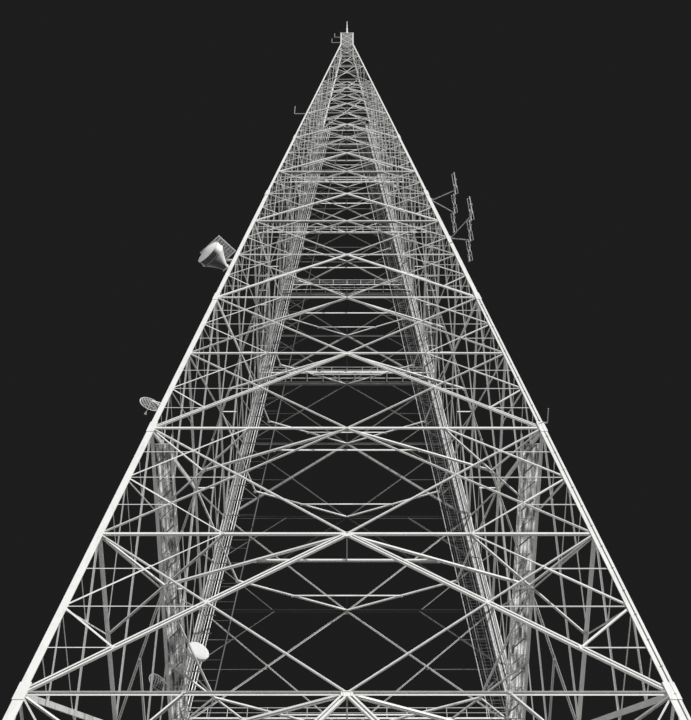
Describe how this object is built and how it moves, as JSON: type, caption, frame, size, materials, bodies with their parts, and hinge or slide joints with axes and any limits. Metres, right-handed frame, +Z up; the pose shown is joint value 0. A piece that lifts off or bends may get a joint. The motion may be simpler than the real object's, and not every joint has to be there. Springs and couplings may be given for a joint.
{
  "type": "lattice radio tower scale model 1:10",
  "caption": "Free-standing square lattice radio tower on four legs, with walkways, ladders, dishes and dipole arrays, as a tenth-scale model.",
  "frame": {"origin": "middle of the underside of the front left foot", "axes": "+Z up, -Y towards the front face, +X to the right as seen from the front"},
  "size_m": [3.768, 3.768, 19.0762],
  "materials": {
    "antenna_grey": "dull aluminium",
    "antenna_white": "smooth white paint",
    "cable_grey": "galvanised ladder with dark cables",
    "foot_steel": "weathered satin paint",
    "grating": "galvanised grating",
    "railing_steel": "galvanised tube",
    "tower_steel": "weathered satin paint over galvanised steel"
  },
  "bodies": {
    "root": {"back_crown_bracing": "tower_steel", "back_left_foot": "foot_steel", "back_left_leg": "tower_steel", "back_lower_bracing": "tower_steel", "back_middle_bracing": "tower_steel", "back_portal": "tower_steel", "back_right_foot": "foot_steel", "back_right_leg": "tower_steel", "back_top_bracing": "tower_steel", "cable_ladder": "cable_grey", "climbing_ladder": "tower_steel", "crown_cap": "tower_steel", "crown_whips": "antenna_grey", "dish_bracket": "tower_steel", "dish_ice_shield": "grating", "front_crown_bracing": "tower_steel", "front_left_foot": "foot_steel", "front_left_leg": "tower_steel", "front_lower_bracing": "tower_steel", "front_middle_bracing": "tower_steel", "front_portal": "tower_steel", "front_right_foot": "foot_steel", "front_right_leg": "tower_steel", "front_top_bracing": "tower_steel", "large_dish": "antenna_white", "left_crown_bracing": "tower_steel", "left_lower_bracing": "tower_steel", "left_middle_bracing": "tower_steel", "left_portal": "tower_steel", "left_top_bracing": "tower_steel", "left_whip": "antenna_grey", "leg_grid_dish": "antenna_white", "level_frame_1": "tower_steel", "level_frame_2": "tower_steel", "level_frame_3": "tower_steel", "level_frame_4": "tower_steel", "level_frame_5": "tower_steel", "level_frame_6": "tower_steel", "lower_dipole_array": "antenna_grey", "lower_railing": "railing_steel", "lower_walkway": "grating", "middle_railing": "railing_steel", "middle_walkway": "grating", "right_crown_bracing": "tower_steel", "right_lower_bracing": "tower_steel", "right_middle_bracing": "tower_steel", "right_portal": "tower_steel", "right_top_bracing": "tower_steel", "right_whip": "antenna_grey", "spire": "tower_steel", "upper_dipole_array": "antenna_grey", "upper_railing": "railing_steel", "upper_walkway": "grating", "walkway_dish": "antenna_white", "walkway_grid_dish": "antenna_white"}
  },
  "joints": []
}
